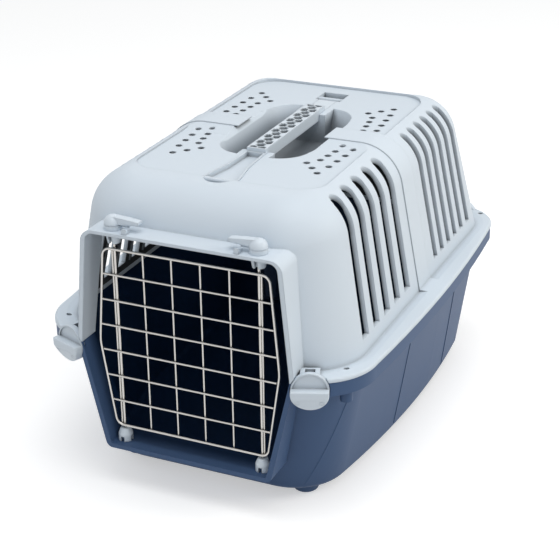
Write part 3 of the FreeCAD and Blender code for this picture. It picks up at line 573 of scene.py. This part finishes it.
def thin_ring(name, radius, thickness):
    """Mesh of a closed thin ring about its own Z axis."""
    build = bmesh.new()
    loops = []
    for i in range(MARK_STEPS_AROUND):
        turn = 2 * math.pi * i / MARK_STEPS_AROUND
        loop = []
        for k in range(MARK_STEPS_ACROSS):
            lean = 2 * math.pi * k / MARK_STEPS_ACROSS
            reach = radius + thickness * math.cos(lean)
            loop.append(build.verts.new((reach * math.cos(turn), reach * math.sin(turn),
                                         thickness * math.sin(lean))))
        loops.append(loop)
    for i in range(MARK_STEPS_AROUND):
        near = loops[i]
        far = loops[(i + 1) % MARK_STEPS_AROUND]
        for k in range(MARK_STEPS_ACROSS):
            after = (k + 1) % MARK_STEPS_ACROSS
            face = build.faces.new((near[k], far[k], far[after], near[after]))
            face.smooth = True
    bmesh.ops.recalc_face_normals(build, faces=build.faces)
    mesh = bpy.data.meshes.new(name)
    build.to_mesh(mesh)
    build.free()
    return mesh


class CARRIER_OT_upper_shell(bpy.types.Operator):
    """Finish the vented upper shell"""

    bl_idname = "carrier.upper_shell"
    bl_label = "Upper Shell"

    def execute(self, context):
        finish = context.scene.carrier_finish
        # Painted shade in the hand hollow and on the walls of the side slots
        painted_hollow_shades = (("Hand hollow", hollow_painted_shade_group, finish.hollow_painted_shade),
                   ("Slot depth", slot_painted_shade_group, finish.slot_painted_shade))
        dress("upper_shell", material_once("Pale Hood", moulded_plastic, finish.pale_colour, HOOD_ROUGHNESS,
                                           HOOD_SHINE, finish.edge_radius, finish,
                                           finish.hood_inside_painted_shade, HOOD_CABIN, painted_hollow_shades))
        return {"FINISHED"}


class CARRIER_OT_lower_shell(bpy.types.Operator):
    """Finish the blue lower shell"""

    bl_idname = "carrier.lower_shell"
    bl_label = "Lower Shell"

    def execute(self, context):
        finish = context.scene.carrier_finish
        dress("lower_shell", material_once("Blue Tub", moulded_plastic, finish.blue_colour, TUB_ROUGHNESS,
                                           TUB_SHINE, finish.tub_edge_radius, finish,
                                           finish.tub_inside_painted_shade, TUB_CABIN))
        return {"FINISHED"}


class CARRIER_OT_grip(bpy.types.Operator):
    """Finish the honeycomb carry grip"""

    bl_idname = "carrier.grip"
    bl_label = "Carry Grip"

    def execute(self, context):
        dress("carry_handle", pale_fittings(context.scene.carrier_finish))
        return {"FINISHED"}


class CARRIER_OT_door(bpy.types.Operator):
    """Finish the wires and rods of the door"""

    bl_idname = "carrier.door"
    bl_label = "Wire Door"

    def execute(self, context):
        wire = material_once("Plated Wire", plated_wire, context.scene.carrier_finish)
        for node in frame["record"]["behaviour"]["bodies"]["door"]:
            dress(node, wire)
        return {"FINISHED"}


class CARRIER_OT_locks(bpy.types.Operator):
    """Finish the door's locks and bottom bushes"""

    bl_idname = "carrier.locks"
    bl_label = "Door Locks"

    def execute(self, context):
        plastic = pale_fittings(context.scene.carrier_finish)
        for side in SIDES:
            for node in LOCK_NODES:
                dress("%s_%s" % (side, node), plastic)
        return {"FINISHED"}


class CARRIER_OT_knobs(bpy.types.Operator):
    """Finish the turn knobs and set the two ring marks on each"""

    bl_idname = "carrier.knobs"
    bl_label = "Turn Knobs"

    def execute(self, context):
        plastic = pale_fittings(context.scene.carrier_finish)
        ring = thin_ring("Knob Mark", MARK_RADIUS, MARK_THICKNESS)
        ring.materials.append(plastic)
        turns = {joint["name"]: joint for joint in frame["record"]["behaviour"]["joints"]}
        up = Vector((0.0, 0.0, 1.0))
        for corner in CORNERS:
            dress(corner + "_turn_knob", plastic)
            joint = turns[corner + "_knob_turn"]
            outwards = Vector(joint["axis"]).normalized()
            sideways = up.cross(outwards)
            facing = outwards * math.cos(MARK_LEAN) - up * math.sin(MARK_LEAN)
            turned = facing.to_track_quat("Z", "Y").to_matrix().to_4x4()
            for side, sign in zip(SIDES, (-1, 1)):
                mark = bpy.data.objects.new("%s_knob_%s_mark" % (corner, side), ring)
                spot = outwards * MARK_STAND - up * MARK_DROP + sideways * sign * MARK_SPREAD
                mark.matrix_world = Matrix.Translation(Vector(joint["pos_m"]) + spot) @ turned
                context.scene.collection.objects.link(mark)
                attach(mark, corner + "_knob")
        return {"FINISHED"}


def seen_directly(tree):
    """1 for what the camera sees, also in reflections and through clear pieces, and 0 for other light."""
    rays = place(tree.nodes, "ShaderNodeLightPath", "Who looks").outputs
    either = calculate(tree, "Camera or glossy", "MAXIMUM", rays["Is Camera Ray"], rays["Is Glossy Ray"])
    return calculate(tree, "Or through glass", "MAXIMUM", either, rays["Is Transmission Ray"])


def white_floor(name, lift):
    """Pale floor that shows white where no shadow falls."""
    material, tree, shader = new_material(name)
    glow = calculate(tree, "Lift", "MULTIPLY", seen_directly(tree), lift)
    feed_named(tree, shader, {"Base Color": share_of(FLOOR_COLOUR), "Roughness": FLOOR_ROUGHNESS,
                              "Specular IOR Level": 0.0, "Emission Color": share_of(WHITE),
                              "Emission Strength": glow})
    return material


def make_world(strength):
    """Even pale light, seen as plain white."""
    world = bpy.data.worlds.new("Studio")
    bpy.context.scene.world = world
    world.use_nodes = True
    tree = world.node_tree
    tree.nodes.clear()
    out = place(tree.nodes, "ShaderNodeOutputWorld", "World")
    mix = place(tree.nodes, "ShaderNodeMixShader", "Seen or lighting")
    light = place(tree.nodes, "ShaderNodeBackground", "Even light")
    white = place(tree.nodes, "ShaderNodeBackground", "White behind")
    feed_named(tree, light, {"Color": share_of(SKY_COLOUR), "Strength": strength})
    feed_named(tree, white, {"Color": share_of(WHITE), "Strength": 1.0})
    feed(tree, mix.inputs["Fac"], seen_directly(tree))
    feed(tree, mix.inputs[1], light.outputs[0])
    feed(tree, mix.inputs[2], white.outputs[0])
    feed(tree, out.inputs["Surface"], mix.outputs[0])


def area_lamp(name, place_at, size, power, colour):
    """Broad soft lamp aimed at the middle of the carrier."""
    data = bpy.data.lights.new(name, "AREA")
    data.color = colour
    data.shape = "DISK"
    data.size = size
    data.energy = power
    lamp = bpy.data.objects.new(name, data)
    lamp.location = place_at
    lamp.rotation_euler = (CARRIER_MIDDLE - Vector(place_at)).to_track_quat("-Z", "Y").to_euler()
    bpy.context.scene.collection.objects.link(lamp)


def photo_camera(stage):
    """Camera that looks at the carrier from the photo's side."""
    back = Vector((math.sin(stage.azimuth) * math.cos(stage.elevation),
                   -math.cos(stage.azimuth) * math.cos(stage.elevation), math.sin(stage.elevation)))
    level = Vector((math.cos(stage.azimuth), math.sin(stage.azimuth), 0.0))
    upright = back.cross(level)
    right = math.cos(stage.roll) * level + math.sin(stage.roll) * upright
    up = math.cos(stage.roll) * upright - math.sin(stage.roll) * level
    data = bpy.data.cameras.new("Photo View")
    data.sensor_width = SENSOR_WIDTH
    data.lens = stage.lens
    data.shift_x = SHIFT_ACROSS
    data.shift_y = SHIFT_UP
    data.clip_start = NEAREST
    data.clip_end = FARTHEST
    camera = bpy.data.objects.new("Photo View", data)
    turned = Matrix((right, up, back)).transposed().to_4x4()
    camera.matrix_world = Matrix.Translation(CARRIER_MIDDLE + back * stage.distance) @ turned
    return camera


class CARRIER_OT_stage(bpy.types.Operator):
    """Set up the floor, the light and the camera"""

    bl_idname = "carrier.stage"
    bl_label = "Studio"

    def execute(self, context):
        scene = context.scene
        stage = scene.carrier_stage
        scene.view_settings.view_transform = "Standard"
        mesh = bpy.data.meshes.new("Floor")
        sheet = bmesh.new()
        bmesh.ops.create_circle(sheet, cap_ends=True, segments=FLOOR_SIDES, radius=FLOOR_RADIUS)
        sheet.to_mesh(mesh)
        sheet.free()
        mesh.materials.append(white_floor("Studio Floor", stage.floor_lift))
        floor = bpy.data.objects.new("floor", mesh)
        scene.collection.objects.link(floor)
        make_world(stage.sky_strength)
        area_lamp("Overhead", TOP_LAMP_PLACE, TOP_LAMP_SIZE, stage.top_strength, WHITE)
        area_lamp("Front Fill", FILL_LAMP_PLACE, FILL_LAMP_SIZE, stage.fill_strength, WHITE)
        area_lamp("Right Hand", SIDE_LAMP_PLACE, SIDE_LAMP_SIZE, stage.side_strength, WARM_WHITE)
        camera = photo_camera(stage)
        scene.collection.objects.link(camera)
        scene.camera = camera
        return {"FINISHED"}


class CARRIER_PT_looks(bpy.types.Panel):
    """Steps that dress the carrier"""

    bl_idname = "CARRIER_PT_looks"
    bl_label = "Pet Carrier"
    bl_space_type = "VIEW_3D"
    bl_region_type = "UI"
    bl_category = "Carrier"

    def draw(self, context):
        for operator in OPERATORS:
            self.layout.operator(operator.bl_idname)
        for group in (context.scene.carrier_finish, context.scene.carrier_stage):
            box = self.layout.box()
            for name in group.bl_rna.properties.keys():
                if name not in ("rna_type", "name"):
                    box.prop(group, name)


OPERATORS = (CARRIER_OT_stage, CARRIER_OT_lower_shell, CARRIER_OT_upper_shell, CARRIER_OT_grip,
             CARRIER_OT_door, CARRIER_OT_locks, CARRIER_OT_knobs)
CLASSES = (CarrierFinish, CarrierStage, *OPERATORS, CARRIER_PT_looks)


def register():
    """Add the classes and the scene's settings."""
    for item in CLASSES:
        bpy.utils.register_class(item)
    bpy.types.Scene.carrier_finish = PointerProperty(type=CarrierFinish)
    bpy.types.Scene.carrier_stage = PointerProperty(type=CarrierStage)


def unregister():
    """Take the classes and the settings away again."""
    del bpy.types.Scene.carrier_stage
    del bpy.types.Scene.carrier_finish
    for item in reversed(CLASSES):
        bpy.utils.unregister_class(item)


def main():
    """Dress the whole carrier."""
    register()
    bpy.ops.carrier.stage()
    bpy.ops.carrier.lower_shell()
    bpy.ops.carrier.upper_shell()
    bpy.ops.carrier.grip()
    bpy.ops.carrier.door()
    bpy.ops.carrier.locks()
    bpy.ops.carrier.knobs()


if __name__ == "__main__":
    main()
